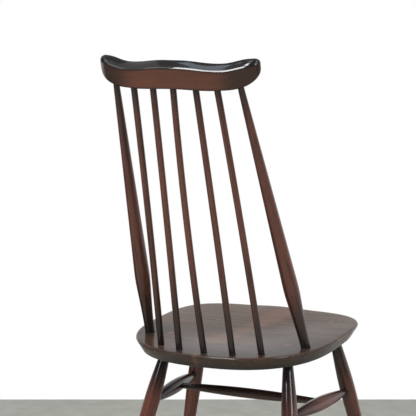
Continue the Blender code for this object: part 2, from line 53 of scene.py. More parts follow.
# Seat board; its front reach is 0.02 mm short of the solid's, to keep inside its facets
SEAT_HEIGHT = 0.434
SEAT_FALL_DEG = 3.2
SEAT_WIDEST_AT = 0.0035
SEAT_HALF_WIDTH = 0.2015
SEAT_REAR_REACH = 0.21
SEAT_FRONT_REACH = 0.18298
SEAT_REAR_SQUARENESS = 2.4
SEAT_FRONT_SQUARENESS = 4.0
SEAT_THICKNESS = 0.026
SEAT_EDGE_SLOPE_DEG = 26.0
SEAT_TOP_ARRIS = 0.0035
SEAT_BOTTOM_ARRIS = 0.0035
SADDLE_DEPTH = 0.006
POMMEL_RISE = 0.001
POMMEL_HALF_WIDTH = 0.082
THIGH_DROP = 0.0015

# Legs: their way along Y and the seat's reach there, how far their tops stand in from the seat's side and
# from that end, and their splay, sideways and endways
LEGS = {
    "front": (-1, SEAT_FRONT_REACH, (0.0625, 0.0785), (0.0955, 0.0695)),
    "rear": (1, SEAT_REAR_REACH, (0.0785, 0.1345), (0.075, 0.134)),
}
LEG_TENON_RADIUS = 0.0095
LEG_SWELL_RADIUS = 0.0155
LEG_SHIN_RADIUS = 0.0128
LEG_SHIN_HEIGHT = 0.195
LEG_FOOT_RADIUS = 0.009
FOOT_BEVEL = 0.0015
FOOT_BEVEL_STEPS = 6

# How red the stain of each leg came out
LEG_WARMTH = {"rear_left": 0.9, "rear_right": 0.35, "front_left": 0.8, "front_right": 0.7}

# Stretchers
STRETCHER_HEIGHT = 0.298
STRETCHER_TENON_RADIUS = 0.006
STRETCHER_TENON_PAST_AXIS = 0.004
SIDE_STRETCHER_RADIUS = 0.014
CROSS_STRETCHER_RADIUS = 0.0103
CROSS_STRETCHER_AHEAD = 0.565
CROSS_TENON_RADIUS = 0.0058
CROSS_TENON_PAST_AXIS = 0.003

# How dark and how warm each stretcher's middle came out; the cross stretcher's dark is painted shade under
# the seat
LEFT_STRETCHER_STAIN = (0.65, 0.4)
RIGHT_STRETCHER_STAIN = (0, 1)
# Its darkness is painted shade under the seat, its warmth stain
CROSS_STRETCHER_SHADE_AND_STAIN = (0.45, 0.2)

# Back posts and sticks
BACK_ROW_INSET = 0.026
STICK_FOOT_STEP_DEG = 16.3
POST_FOOT_DEG = 63.3
HEAD_SPACING = 0.0414
POST_FOOT_RADIUS = 0.0093
POST_SWELL_RADIUS = 0.0143
POST_SWELL_START = 0.112
POST_SWELL_END = 0.158
POST_HEAD_RADIUS = 0.0058
STICK_FOOT_RADIUS = 0.0064
STICK_HEAD_RADIUS = 0.0061
STICK_SOCKET_DEPTH = 0.016
SWELL_FULLNESS = 1.2

# How far the hand-fitted row strays from even spacing and how far its sticks bow, from left post to right
FOOT_STRAY_DEG = (-1.0, -1.5, -0.5, 0, -0.5, -1.0, -0.5)
HEAD_STRAY = (0.0025, 0.0005, -0.0005, 0, -0.0015, 0.001, 0.0015)
BOW_TO_LEFT = (0, -0.002, -0.001, 0.004, -0.001, -0.002, 0)

# How red the stain of each of them came out at mid height
STICK_WARMTH = (0.9, 0.65, 1.0, 0.75, 1.0, 0.9, 1.0)

# Marks: how strong a darker, paler or warmer spot is, and how far it reaches. The darkening at the legs'
# tops is painted shade under the seat. An edge of such a field is where it begins to change, and over what
# width
RAIL_ARRIS_WEAR = (0.5, 0.003)
RAIL_END_WEAR = (0.5, 0.012)
RAIL_TOP_DARK_EDGE = (0.001, 0.003)
RAIL_LOWER_EDGE_DARK = (0.8, 0.006)
RAIL_EAR_DARK = 0.7
RAIL_EAR_DARK_EDGE = (0.07, 0.05)
RAIL_WARM = (0.6, 0.12)
RAIL_WARM_AT = 0.07
POST_FOOT_DARK = (1, 0.17)
POST_HEAD_DARK = (0.7, 0.09)
POST_SWELL_WEAR = (0.3, 0.1)
POST_WARM = (0.8, 0.4)
POST_WARM_ABOVE_SWELL = 0.1
STICK_FOOT_DARK = (1, 0.15)
STICK_HEAD_DARK = (0.6, 0.08)
STICK_MIDDLE_WEAR = (0.2, 0.2)
STICK_WARM_AT = 0.6
# Painted shade under the seat, at the legs' tops
LEG_PAINTED_SEAT_SHADE = (1, 0.11)
LEG_SOCKET_DARK = (0.7, 0.02)
LEG_FOOT_WEAR = (1, 0.012)
LEG_TENON_WEAR = (1, 0.015)
LEG_SWELL_WEAR = (0.25, 0.03)
STRETCHER_END_DARK = (1, 0.04)
STRETCHER_MIDDLE_WEAR = 0.3

# The seat's own: painted shade on the undercut sides and at the rear, where the sheen is dimmer, dark joints,
# a warm band that bends to a warm field at the left rear, and a warm streak on the rear edge
SEAT_RIM_WEAR = (1, 0.006)
SEAT_JOINT_DARK = (0.8, 0.016)
# Painted shade on the undercut sides
SEAT_SIDE_PAINTED_SHADE = 0.97
SEAT_SIDE_EDGE = (SEAT_TOP_ARRIS, 0.003)
# Painted shade at the rear, where the sheen is dimmer
SEAT_REAR_PAINTED_SHADE = 0.55
SEAT_REAR_OUTER_EDGE = (0.09, 0.08)
SEAT_REAR_FRONT_EDGE = (0, 0.08)
SEAT_BAND_WARM = (1, 0.055)
SEAT_BAND_SLANT = 0.16
SEAT_BAND_BEND = 2
SEAT_BAND_BEND_FROM = 0.03
SEAT_BAND_REAR_EDGE = (0.1, 0.06)
SEAT_FIELD_WARM = (0.9, 0.07)
SEAT_FIELD_AT = (0.09, 0.16)
SEAT_STREAK_WARM = (1, 0.011)
SEAT_STREAK_AT = 0.008
SEAT_STREAK_FRONT_EDGE = (0.185, 0.02)
SEAT_STREAK_PALE = 0.4

# Each piece is cut from its own place in the plank, which follows from its name
PLANK_CYCLES = (17, 23, 29)
PLANK_STEP = 0.37

# Kerfs of the wedges
WEDGE_THICK_END = 0.0024
WEDGE_THIN_END = 0.001
WEDGE_LENGTH = 0.016

# Top rail; it is 0.1 mm thinner and its horns 0.2 mm lower than the solid's, to keep inside its facets
RAIL_LEAN_DEG = 14.0
RAIL_RADIUS = 0.4
RAIL_SETBACK = 0.3111
RAIL_HEIGHT = 0.9213
RAIL_HALF_LENGTH = 0.163
RAIL_THICKNESS = 0.0209
RAIL_CREST = 0.0525
RAIL_CREST_HALF_FLAT = 0.012
RAIL_DIP = 0.0452
RAIL_DIP_AT = 0.095
RAIL_HORN = 0.0513
RAIL_HORN_AT = 0.147
RAIL_BELLY_RISE = 0.0034
RAIL_BELLY_HALF_WIDTH = 0.08
RAIL_TOP_FALL = 0.0095
RAIL_TOP_CROWN = 0.0008
RAIL_EDGE_RADIUS = 0.004
RAIL_BEVEL_WIDTH = 0.003
RAIL_BEVEL_TURN_DEG = 45.0
RAIL_ARRIS_RADIUS = 0.0008
RAIL_SOCKET_DEPTH = 0.026

# Ears of the top rail: how each side turns in, over a length and by a depth, and how the section softens
EAR_TOP_LENGTH = 0.012
EAR_TOP_DROP = 0.009
EAR_UNDERCUT_LENGTH = 0.0635
EAR_UNDERCUT_RISE = 0.034
EAR_SWEEP_LENGTH = 0.026
EAR_SWEEP_DEPTH = 0.0145
EAR_FRONT_LENGTH = 0.006
EAR_FRONT_DEPTH = 0.004
EAR_FULL_HEIGHT = 0.0335
EAR_SOFT_LENGTH = 0.035
EAR_SOFTNESS = 0.7
EAR_SQUARENESS = 3.5
EAR_CROWN = 0.003

# Facets of the solids, and of the smooth pieces that stand for them
SOLID_LEG_SIDES = 20
SOLID_POST_SIDES = 18
SOLID_STICK_SIDES = 14
SOLID_STRETCHER_SIDES = 18
ROUND_SIDES = 64
LONG_STEPS = 60
SEAT_SIDES = 288
SEAT_RINGS = 40
RAIL_STATIONS = 440
ARC_STEPS = 10
ARRIS_STEPS = 4
FACE_STEPS = 10
SHARP_FROM_DEG = 35

UP = Vector((0, 0, 1))
SEAT_MIDDLE = Vector((0, SEAT_WIDEST_AT))
PAST = 0.01
POST_PLACE = 3
BACK_PLACES = range(-POST_PLACE, POST_PLACE + 1)

# The solids are modelled round the middle of the seat, and this brings them over the origin
STAND = Vector((0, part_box("seat")[1].y - SEAT_WIDEST_AT - SEAT_REAR_REACH, 0))

# Camera, from the photograph's vanishing lines: its place, its turn from -Y and its fall
CAMERA_PLACE = Vector((-1.3595, 2.9254, 1.1360))
CAMERA_TURN = 0.4476
CAMERA_FALL = 0.1401
CAMERA_LENS = 148.0
CAMERA_SENSOR = 36.0
CAMERA_CLIP = (0.1, 100)

# Stage: the floor ends at a straight line behind the chair, as seen from the camera
FLOOR_END = 4.42
FLOOR_SPAN = 40.0
FLOOR_COLOURS = ((0.51, 0.485, 0.41), (0.58, 0.555, 0.475))
WHITE = (1, 1, 1)

# Cards on the floor that only gloss shows: far, left and right ends from the camera, and colour
CARD_HEIGHT = 0.003
CARD_NEAR_END = 3.3
CARDS = {
    "dark_card": (5.8, -2.5, -0.55, (0.012, 0.016, 0.022)),
    "pale_card": (8.0, 0.9, 6.0, (0.7, 0.7, 0.7)),
}

# World: a dim room, and beyond the chair a wall that is turned to the picture's right, so that the left
# edges of the round pieces stay dark. WALL_EDGE is in cosines to its direction, the rises in degrees
ROOM_COLOUR = (0.12, 0.135, 0.165)
WALL_TURN = 0.55
WALL_EDGE = (-0.1, 0.5)
UPPER_WALL_COLOUR = (0.41, 0.42, 0.43)
UPPER_WALL_RISES = (5, 20)
SKY_COLOUR = (0.27, 0.35, 0.48)
SKY_RISES = (24, 60)

# Lamps, all at one distance from their aim: turn from the camera's side towards the picture's right and rise
# in degrees, width, height, power and, if not white, colour
LAMP_AIM = Vector((0, 0, 0.6))
LAMP_DISTANCE = 3.0
LAMPS = {
    "key": (-45, 54, 1.0, 0.7, 52),
    "left": (-45, 27, 0.5, 0.85, 12),
    "right": (40, 23, 0.9, 0.95, 20),
    "fill": (65, 50, 1.1, 0.8, 16),
    "edge": (-78, 47, 0.8, 0.6, 3),
    "sky": (-105, 50, 2.4, 1.0, 4),
    "ceiling": (-75, 76, 1.2, 0.5, 6, (0.75, 0.9, 1.0)),
}

# Stains in linear RGB: at a joint and for painted shade, in dark and middling grain, in warm grain, and where
# lacquer is rubbed
FRAME_STAIN = ((0.02, 0.0175, 0.0165), (0.034, 0.017, 0.0145), (0.098, 0.041, 0.0295), (0.193, 0.067, 0.045),
               (0.2, 0.087, 0.055))
RAIL_STAIN = ((0.010, 0.009, 0.0085), (0.105, 0.038, 0.024), (0.135, 0.047, 0.029), (0.18, 0.060, 0.034),
              (0.22, 0.11, 0.07))
SEAT_STAIN = ((0.010, 0.009, 0.0085), (0.062, 0.038, 0.023), (0.150, 0.086, 0.053), (0.235, 0.112, 0.068),
              (0.25, 0.12, 0.08))
WEDGE_COLOURS = ((0.13, 0.055, 0.035), (0.28, 0.14, 0.09), (0.08, 0.034, 0.02))

# How often each pattern changes in a metre: along, across and deep in the grain, or else along X, Y and Z
WANDER_SCALE = (3, 9, 9)
STREAK_SCALE = (7, 230, 230)
RING_SCALE = (1.6, 34, 60)
PATCH_SCALE = (9, 14, 14)
PORE_SCALE = (110, 1500, 1500)
RUB_SCALE = (60, 160, 160)
WAVE_SCALE = (22, 60, 60)
WEDGE_STREAK_SCALE = (700, 700, 60)
WEDGE_BLOT_SCALE = (90, 90, 90)
FLOOR_CLOUD_SCALE = (20, 20, 20)

# Reliefs: their strength, and their depth in metres
WAVE_RELIEF = (0.15, 0.0005)
FIBRE_RELIEF = (0.2, 0.00015)
PORE_RELIEF = (0.25, 0.0001)
WEDGE_RELIEF = (0.3, 0.0001)

# Which range of a pattern's noise fades in, the share that it gives its colour, and how it roughens
STREAK_RANGE = (0.3, 0.72)
RING_RANGE = (0.35, 0.7)
RING_LIFT = 5.0
PATCH_RANGE = (0.5, 0.68)
PATCH_ROUGHENING = 0.16
WARM_RANGE = (0.1, 1.0)
WARM_SHARE = 0.8
WARM_RAGGEDNESS = 1.6
DARK_LINE_RANGE = (0.32, 0.5)
DARK_LINE_SHARE = 0.55
PORE_RANGE = (0.6, 0.72)
PORE_SHARE = 0.45
PORE_DARKNESS = 0.35
PORE_ROUGHENING = 0.2
RUB_RANGE = (0.4, 0.66)
RUB_SHARE = 0.55
RUB_ROUGHENING = 0.15
JOINT_STAIN_AND_SHADE_SHARE = 0.97


# Curves and small helpers


def even_steps(start, end, count):
    return [start + (end - start) * i / count for i in range(count + 1)]


def clamp(share):
    return min(max(share, 0), 1)


def ease(share):
    """Runs from 0 to 1 with level ends, and stays there outside."""
    return (1 - cos(pi * clamp(share))) / 2


def near(distance, reach):
    """1 at a place, falling smoothly to 0 at a reach from it."""
    return 1 - ease(abs(distance) / reach)


def blend(knots, along):
    """Height at a distance on the smooth curve through knots of (distance, height, slope)."""
    for (x0, y0, m0), (x1, y1, m1) in zip(knots, knots[1:]):
        if along <= x1 or (x1, y1, m1) == knots[-1]:
            break
    span = x1 - x0
    t = (along - x0) / span
    left = (1 + 2 * t) * (1 - t) ** 2 * y0 + t * (1 - t) ** 2 * span * m0
    right = t * t * (3 - 2 * t) * y1 + t * t * (t - 1) * span * m1
    return left + right


def superellipse_reach(turn, half_length, half_width, power):
    """How far a superellipse is from its middle, at a turn from its length."""
    share = (abs(cos(turn)) / half_length) ** power + (abs(sin(turn)) / half_width) ** power
    return share ** (-1 / power)


def axis_frame(start, end):
    """A frame at start, with its +Z along the line to end and its +Y as near as can be to the chair's +Y."""
    along = (end - start).normalized()
    side = Vector((0, 1, 0)).cross(along).normalized()
    ahead = along.cross(side)
    turn = Matrix((side, ahead, along)).transposed().to_4x4()
    return Matrix.Translation(start) @ turn


# Meshes under edit


def lathe(profile):
    """Turns a profile of (distance along the axis, radius) into a closed solid round +Z."""
    turns = [tau * i / ROUND_SIDES for i in range(ROUND_SIDES)]
    return loft([[Vector((r * cos(t), r * sin(t), along)) for t in turns] for along, r in profile])


def turned(profile, solid_sides):
    """A round bar whose section is as large everywhere as that of the faceted solid."""
    share = sqrt(solid_sides / tau * sin(tau / solid_sides))
    return lathe([(along, radius * share) for along, radius in profile])


def loft(rings):
    """A closed solid through rings of equally many points, with a flat face at each end."""
    edit = bmesh.new()
    loops = [[edit.verts.new(point) for point in ring] for ring in rings]
    for near, far in zip(loops, loops[1:]):
        for i in range(len(near)):
            j = (i + 1) % len(near)
            edit.faces.new((near[i], near[j], far[j], far[i]))
    edit.faces.new(loops[0])
    edit.faces.new(loops[-1])
    bmesh.ops.recalc_face_normals(edit, faces=edit.faces)
    return edit


def saw(edit, place, point, normal, bevel=0):
    """Cuts off what lies beyond a plane of the chair's frame, closes the cut and may bevel its edge."""
    back = place.inverted()
    geometry = edit.verts[:] + edit.edges[:] + edit.faces[:]
    plane = {"plane_co": back @ point, "plane_no": back.to_3x3() @ normal}
    bmesh.ops.bisect_plane(edit, geom=geometry, clear_outer=True, **plane)
    rim = [edge for edge in edit.edges if edge.is_boundary]
    bmesh.ops.holes_fill(edit, edges=rim)
    if bevel:
        bmesh.ops.bevel(edit, geom=rim, offset=bevel, segments=FOOT_BEVEL_STEPS, profile=0.5, affect="EDGES")


def drill(start, end, radius):
    """A bit for a hole of a peg's radius and its clearance, from start to end."""
    length = (end - start).length
    bore = radius + CLEARANCE
    return lathe([(0, bore), (length, bore)]), axis_frame(start, end)


def kerf_bit(end, inner):
    """The slot for a wedge, from a tenon's end towards its inner part."""
    slope = (WEDGE_THICK_END - WEDGE_THIN_END) / WEDGE_LENGTH
    corners = ((-1, -1), (1, -1), (1, 1), (-1, 1))
    rings = []
    for along in (-PAST, WEDGE_LENGTH + CLEARANCE):
        half = (WEDGE_THICK_END - slope * along) / 2 + CLEARANCE
        rings.append([Vector((sx * half, sy * LEG_SWELL_RADIUS, along)) for sx, sy in corners])
    return loft(rings), axis_frame(end, inner)


def link_object(name, data, place):
    thing = bpy.data.objects.new(name, data)
    thing.matrix_world = place
    bpy.context.scene.collection.objects.link(thing)
    return thing


def make_object(name, edit, place):
    """An object at the origin, with its mesh moved from its own frame to its place."""
    bmesh.ops.transform(edit, matrix=place, verts=edit.verts)
    mesh = bpy.data.meshes.new(name)
    edit.to_mesh(mesh)
    edit.free()
    return link_object(name, mesh, Matrix())


def cut(thing, bits):
    """Takes (mesh under edit, frame in the chair) bits out of an object, and keeps the result as its mesh."""
    joined = bmesh.new()
    for bit, place in bits:
        bmesh.ops.transform(bit, matrix=Matrix.Translation(STAND) @ place, verts=bit.verts)
        scratch = bpy.data.meshes.new("bit")
        bit.to_mesh(scratch)
        bit.free()
        joined.from_mesh(scratch)
        bpy.data.meshes.remove(scratch)
    cutter = make_object(thing.name + "_bits", joined, Matrix())
    modifier = thing.modifiers.new("cuts", "BOOLEAN")
    modifier.operation = "DIFFERENCE"
    modifier.solver = "EXACT"
    modifier.object = cutter
    graph = bpy.context.evaluated_depsgraph_get()
    whole = bpy.data.meshes.new_from_object(thing.evaluated_get(graph))
    thing.modifiers.clear()
    old = thing.data
    thing.data = whole
    bpy.data.meshes.remove(old)
    bpy.data.objects.remove(cutter, do_unlink=True)


# What the shaders read from a piece: a point's place in the grain, and how worn, dark or warm it is


def dress(name, edit, place, material, grain, wear, stain_and_shade, warmth, bits=()):
    """Makes a piece that stands for the solid of the same name. The four functions take a point of the
    piece's own frame: grain gives its (along, across, deep) place in the plank, the others 0 to 1."""
    whole = Matrix.Translation(STAND) @ place
    thing = make_object("smooth_" + name, edit, whole)
    if bits:
        cut(thing, bits)
    mesh = thing.data
    mesh.materials.clear()
    mesh.materials.append(material)
    mesh.shade_smooth()
    mesh.set_sharp_from_angle(angle=radians(SHARP_FROM_DEG))
    back = whole.inverted()
    points = [back @ vertex.co for vertex in mesh.vertices]
    number = sum(ord(letter) * (i + 1) for i, letter in enumerate(name))
    plank = Vector([number % cycle for cycle in PLANK_CYCLES]) * PLANK_STEP
    layer = mesh.attributes.new("grain", "FLOAT_VECTOR", "POINT")
    layer.data.foreach_set("vector", [part for point in points for part in Vector(grain(point)) + plank])
    # The darkening holds darker stain and dark joints, and painted shade as well
    for key, mark_and_shade in (("wear", wear), ("stain_and_shade", stain_and_shade), ("warmth", warmth)):
        layer = mesh.attributes.new(key, "FLOAT", "POINT")
        layer.data.foreach_set("value", [clamp(mark_and_shade(point)) for point in points])
    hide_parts(name)
    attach(thing, "root")


def spot(distance, mark_and_shade):
    """A spot of a mark or of painted shade, given its strength and reach, at a distance from its middle."""
    strength, reach = mark_and_shade
    return strength * near(distance, reach)


def bands(*spots):
    """Marks and painted shade, made of spots along a piece's own +Z, each given as its place, strength and
    reach.
    """
    return lambda point: sum(spot(point.z - place, mark_and_shade) for place, mark_and_shade in spots)


def beyond(distance, edge):
    """0 up to the start of an edge, rising smoothly to 1 over its width."""
    start, width = edge
    return ease((distance - start) / width)


# The seat's surfaces


def rim_point(angle):
    """The seat's outline at an angle from the rear centre, seen from above."""
    reach = SEAT_REAR_REACH if cos(angle) > 0 else SEAT_FRONT_REACH
    power = SEAT_REAR_SQUARENESS if cos(angle) > 0 else SEAT_FRONT_SQUARENESS
    radius = superellipse_reach(angle, reach, SEAT_HALF_WIDTH, power)
    return Vector((radius * sin(angle), SEAT_WIDEST_AT + radius * cos(angle)))


def inset_point(angle, inset):
    """The outline's point moved square to the outline and inwards."""
    step = 0.01
    run = rim_point(angle + step) - rim_point(angle - step)
    inwards = Vector((run.y, -run.x)).normalized()
    return rim_point(angle) + inwards * inset


def reach_and_rim(x, y):
    """How far a place is from the seat's middle, and how far the outline is in the same direction."""
    ahead = Vector((x, y)) - SEAT_MIDDLE
    return ahead.length, (rim_point(atan2(ahead.x, ahead.y)) - SEAT_MIDDLE).length


def board_plane(y):
    return SEAT_HEIGHT - tan(radians(SEAT_FALL_DEG)) * y


def seat_top(x, y):
    """The seat's top face: hollowed to the middle, raised in the middle of the front and eased beside it."""
    reach, rim = reach_and_rim(x, y)
    hollow = SADDLE_DEPTH * (1 - min(reach / rim, 1) ** 2) ** 2
    front = ease(-y / SEAT_FRONT_REACH)
    middle = near(x, POMMEL_HALF_WIDTH)
    pommel = POMMEL_RISE * front * middle
    thigh = THIGH_DROP * front * (1 - middle)
    return board_plane(y) - hollow + pommel - thigh


def seat_underside(y):
    return board_plane(y) - SEAT_THICKNESS


def on_seat(x, y):
    return Vector((x, y, seat_top(x, y)))


def seat_top_normal(x, y):
    step = 0.004
    slope_x = (seat_top(x + step, y) - seat_top(x - step, y)) / (2 * step)
    slope_y = (seat_top(x, y + step) - seat_top(x, y - step)) / (2 * step)
    return Vector((-slope_x, -slope_y, 1)).normalized()


def seat_plane_normal():
    return Vector((0, sin(radians(SEAT_FALL_DEG)), cos(radians(SEAT_FALL_DEG))))


def meet_underside(start, end):
    """Where a line leaves the seat board below."""
    fall = tan(radians(SEAT_FALL_DEG))
    run = end - start
    share = (seat_underside(start.y) - start.z) / (run.z + fall * run.y)
    return start + run * share


def seat_rings():
    """Rings of the seat board from the middle of its top, out over the rim and in again below."""
    angles = [tau * i / SEAT_SIDES for i in range(SEAT_SIDES)]
    slope = radians(SEAT_EDGE_SLOPE_DEG)
    rings = []
    for share in even_steps(0, 1, SEAT_RINGS)[1:-1]:
        ring = [SEAT_MIDDLE.lerp(inset_point(a, SEAT_TOP_ARRIS), share) for a in angles]
        rings.append([on_seat(p.x, p.y) for p in ring])
    for turn in even_steps(0, pi / 2 + slope, ARC_STEPS):
        inset = SEAT_TOP_ARRIS * (1 - sin(turn))
        drop = SEAT_TOP_ARRIS * (1 - cos(turn))
        ring = [(inset_point(a, inset), inset_point(a, SEAT_TOP_ARRIS)) for a in angles]
        rings.append([Vector((p.x, p.y, seat_top(q.x, q.y) - drop)) for p, q in ring])
    edge_inset = (SEAT_THICKNESS - SEAT_BOTTOM_ARRIS * (1 - sin(slope))) * tan(slope)
    for turn in even_steps(slope, pi / 2, ARC_STEPS):
        inset = edge_inset + SEAT_BOTTOM_ARRIS * (cos(slope) - cos(turn))
        rise = SEAT_BOTTOM_ARRIS * (1 - sin(turn))
        ring = [inset_point(a, inset) for a in angles]
        rings.append([Vector((p.x, p.y, seat_underside(p.y) + rise)) for p in ring])
    return rings


# The lines that the long pieces follow


def leg_line(end, side):
    """From the seat's top face to the floor."""
    way, reach, inset, splay = LEGS[end]
    x = SEAT_HALF_WIDTH - inset[0]
    y = SEAT_WIDEST_AT + way * (reach - inset[1])
    return on_seat(side * x, y), Vector((side * (x + splay[0]), y + way * splay[1], 0))


def stretcher_joint(end, side):
    """The point of a leg's axis that the side stretcher's axis meets."""
    top, foot = leg_line(end, side)
    return top.lerp(foot, (top.z - STRETCHER_HEIGHT) / top.z)


def cross_joint(side):
    return stretcher_joint("rear", side).lerp(stretcher_joint("front", side), CROSS_STRETCHER_AHEAD)


def rail_point(along, height, behind):
    """A point of the rail: along its arc, up its leaning face and behind its middle sheet."""
    lean = radians(RAIL_LEAN_DEG)
    turn = along / RAIL_RADIUS
    x = (RAIL_RADIUS + behind) * sin(turn)
    back = (RAIL_RADIUS + behind) * cos(turn) - RAIL_RADIUS
    y = RAIL_SETBACK + back * cos(lean) + height * sin(lean)
    z = RAIL_HEIGHT - back * sin(lean) + height * cos(lean)
    return Vector((x, y, z))


def rail_place(point):
    """The (along, height, behind) of a point of the rail, the other way round from rail_point."""
    lean = radians(RAIL_LEAN_DEG)
    y, z = point.y - RAIL_SETBACK, point.z - RAIL_HEIGHT
    reach = y * cos(lean) - z * sin(lean) + RAIL_RADIUS
    height = y * sin(lean) + z * cos(lean)
    return RAIL_RADIUS * atan2(point.x, reach), height, hypot(point.x, reach) - RAIL_RADIUS


def is_post(number):
    return abs(number) == POST_PLACE


def back_line(number):
    """From the seat's top face to the middle of the socket in the rail; number 0 is the middle stick."""
    index = POST_PLACE - number
    even = number * STICK_FOOT_STEP_DEG
    if is_post(number):
        even = copysign(POST_FOOT_DEG, number)
    foot = on_seat(*inset_point(radians(even + FOOT_STRAY_DEG[index]), BACK_ROW_INSET))
    along = number * HEAD_SPACING + HEAD_STRAY[index]
    return foot, rail_point(along, rail_bottom(along) + RAIL_SOCKET_DEPTH / 2, 0)


def head_end(number, gap):
    """Where a post's or stick's axis ends in its socket, short of the bottom by a gap."""
    foot, aim = back_line(number)
    return aim + (aim - foot).normalized() * (RAIL_SOCKET_DEPTH / 2 - gap)


# Top rail


def rounded_off(along, length, depth):
    """How far a face has turned in, where the rail's end is rounded over a length by a depth."""
    share = (abs(along) - RAIL_HALF_LENGTH + length) / length
    return depth * (1 - sqrt(1 - clamp(share) ** 2))


def rail_bottom(along):
    belly = RAIL_BELLY_RISE * near(along, RAIL_BELLY_HALF_WIDTH)
    return belly + rounded_off(along, EAR_UNDERCUT_LENGTH, EAR_UNDERCUT_RISE)


def rail_top(along):
    """Height of the rail's upper edge: crest, dip and horn, with the horn's corner rounded."""
    size = abs(along)
    dip = ease((size - RAIL_CREST_HALF_FLAT) / (RAIL_DIP_AT - RAIL_CREST_HALF_FLAT))
    horn = ease((size - RAIL_DIP_AT) / (RAIL_HORN_AT - RAIL_DIP_AT))
    height = RAIL_CREST + (RAIL_DIP - RAIL_CREST) * dip + (RAIL_HORN - RAIL_DIP) * horn
    return height - rounded_off(along, EAR_TOP_LENGTH, EAR_TOP_DROP)


def rail_faces(along):
    """How far the rear and front faces lie behind the middle sheet."""
    rear = RAIL_THICKNESS / 2 - rounded_off(along, EAR_SWEEP_LENGTH, EAR_SWEEP_DEPTH)
    front = -RAIL_THICKNESS / 2 + rounded_off(along, EAR_FRONT_LENGTH, EAR_FRONT_DEPTH)
    return rear, front


def arc(centre, radius, start_deg, end_deg, steps):
    """Points (behind, height) of an arc; 0 degrees points to the rear and 90 up."""
    turns = even_steps(radians(start_deg), radians(end_deg), steps)
    return [(centre[0] + radius * cos(t), centre[1] + radius * sin(t)) for t in turns]


def inner_points(start, end, steps, crown=0):
    """Points between two others, raised by a crown in the middle."""
    shares = even_steps(0, 1, steps)[1:-1]
    return [Vector(start).lerp(Vector(end), share) + Vector((0, crown * sin(pi * share))) for share in shares]


def rail_share(along):
    """How much of the full edge radii and top fall a section has, which shrink where the ears thin out."""
    rear, front = rail_faces(along)
    return min((rail_top(along) - rail_bottom(along)) / EAR_FULL_HEIGHT, (rear - front) / RAIL_THICKNESS, 1)


def softened(point, middle, half_thickness, half_height, softness):
    """A section's point, moved some of the way to the superellipse that fills the section's box."""
    away = Vector(point) - middle
    reach = superellipse_reach(atan2(away.y, away.x), half_thickness, half_height, EAR_SQUARENESS)
    return middle + away.lerp(away.normalized() * reach, softness)


def rail_section(along):
    """The rail's section: flat faces, soft lower edges, and a top that falls to a narrow bevel at the rear.
    At the ears the edges shrink with the section, the top grows fuller and the whole of it softens."""
    low, high = rail_bottom(along), rail_top(along)
    rear, front = rail_faces(along)
    share = rail_share(along)
    edge, bevel, fall = RAIL_EDGE_RADIUS * share, RAIL_BEVEL_WIDTH * share, RAIL_TOP_FALL * share
    soft = near(RAIL_HALF_LENGTH - abs(along), EAR_SOFT_LENGTH)
    crown = RAIL_TOP_CROWN + (EAR_CROWN - RAIL_TOP_CROWN) * soft
    top_turn = atan2(rear - front - edge, fall)
    turn = radians(RAIL_BEVEL_TURN_DEG)
    drop = bevel * sin(top_turn - turn) / sin(top_turn)
    along_bevel = Vector((-sin(turn), cos(turn)))
    lower = Vector((rear, high - fall - drop))
    upper = lower + along_bevel * bevel
    arris = RAIL_ARRIS_RADIUS * share
    inwards = Vector((-cos(turn), -sin(turn))) * arris
    lower_middle = lower + along_bevel * arris * tan(turn / 2) + inwards
    upper_middle = upper - along_bevel * arris * tan((top_turn - turn) / 2) + inwards
    points = arc((rear - edge, low + edge), edge, -90, 0, ARC_STEPS)
    points += inner_points(points[-1], lower_middle + Vector((arris, 0)), FACE_STEPS)
    points += arc(lower_middle, arris, 0, RAIL_BEVEL_TURN_DEG, ARRIS_STEPS)
    points += arc(upper_middle, arris, RAIL_BEVEL_TURN_DEG, degrees(top_turn), ARRIS_STEPS)
    points += inner_points(points[-1], (front + edge, high), ARC_STEPS, crown * share)
    points += arc((front + edge, high - edge), edge, 90, 180, ARC_STEPS)
    points += inner_points(points[-1], (front, low + edge), FACE_STEPS)
    points += arc((front + edge, low + edge), edge, 180, 270, ARC_STEPS)
    middle = Vector((rear + front, high + low)) / 2
    half_size = (rear - front) / 2, (high - low) / 2
    points = [softened(point, middle, *half_size, EAR_SOFTNESS * soft) for point in points]
    return [rail_point(along, height, behind) for behind, height in points]


def dress_top_rail(material):
    shares = even_steps(-pi / 2, pi / 2, RAIL_STATIONS)
    edit = loft([rail_section(RAIL_HALF_LENGTH * sin(s)) for s in shares])
    bits = []
    for number in BACK_PLACES:
        foot, aim = back_line(number)
        radius = POST_HEAD_RADIUS if is_post(number) else STICK_HEAD_RADIUS
        below = aim - (aim - foot).normalized() * (RAIL_SOCKET_DEPTH + PAST)
        bits.append(drill(below, head_end(number, 0), radius))

    def wear(point):
        along, height, behind = rail_place(point)
        rear, _ = rail_faces(along)
        arris = hypot(behind - rear, height - rail_top(along) + RAIL_TOP_FALL * rail_share(along))
        return spot(arris, RAIL_ARRIS_WEAR) + spot(RAIL_HALF_LENGTH - abs(along), RAIL_END_WEAR)

    def stain_and_shade(point):
        along, height, behind = rail_place(point)
        rear, front = rail_faces(along)
        fall = RAIL_TOP_FALL * rail_share(along) * clamp((behind - front) / (rear - front))
        top_band = 1 - beyond(rail_top(along) - fall - height, RAIL_TOP_DARK_EDGE)
        ears = RAIL_EAR_DARK * beyond(abs(along), RAIL_EAR_DARK_EDGE)
        return max(top_band, spot(height - rail_bottom(along), RAIL_LOWER_EDGE_DARK), ears)

    def warmth(point):
        along, _, _ = rail_place(point)
        return spot(along - RAIL_WARM_AT, RAIL_WARM)

    dress("top_rail", edit, Matrix(), material, rail_place, wear, stain_and_shade, warmth, bits)


# Posts and sticks


def lengthwise(point):
    """Grain along a long piece's own +Z."""
    return point.z, point.x, point.y


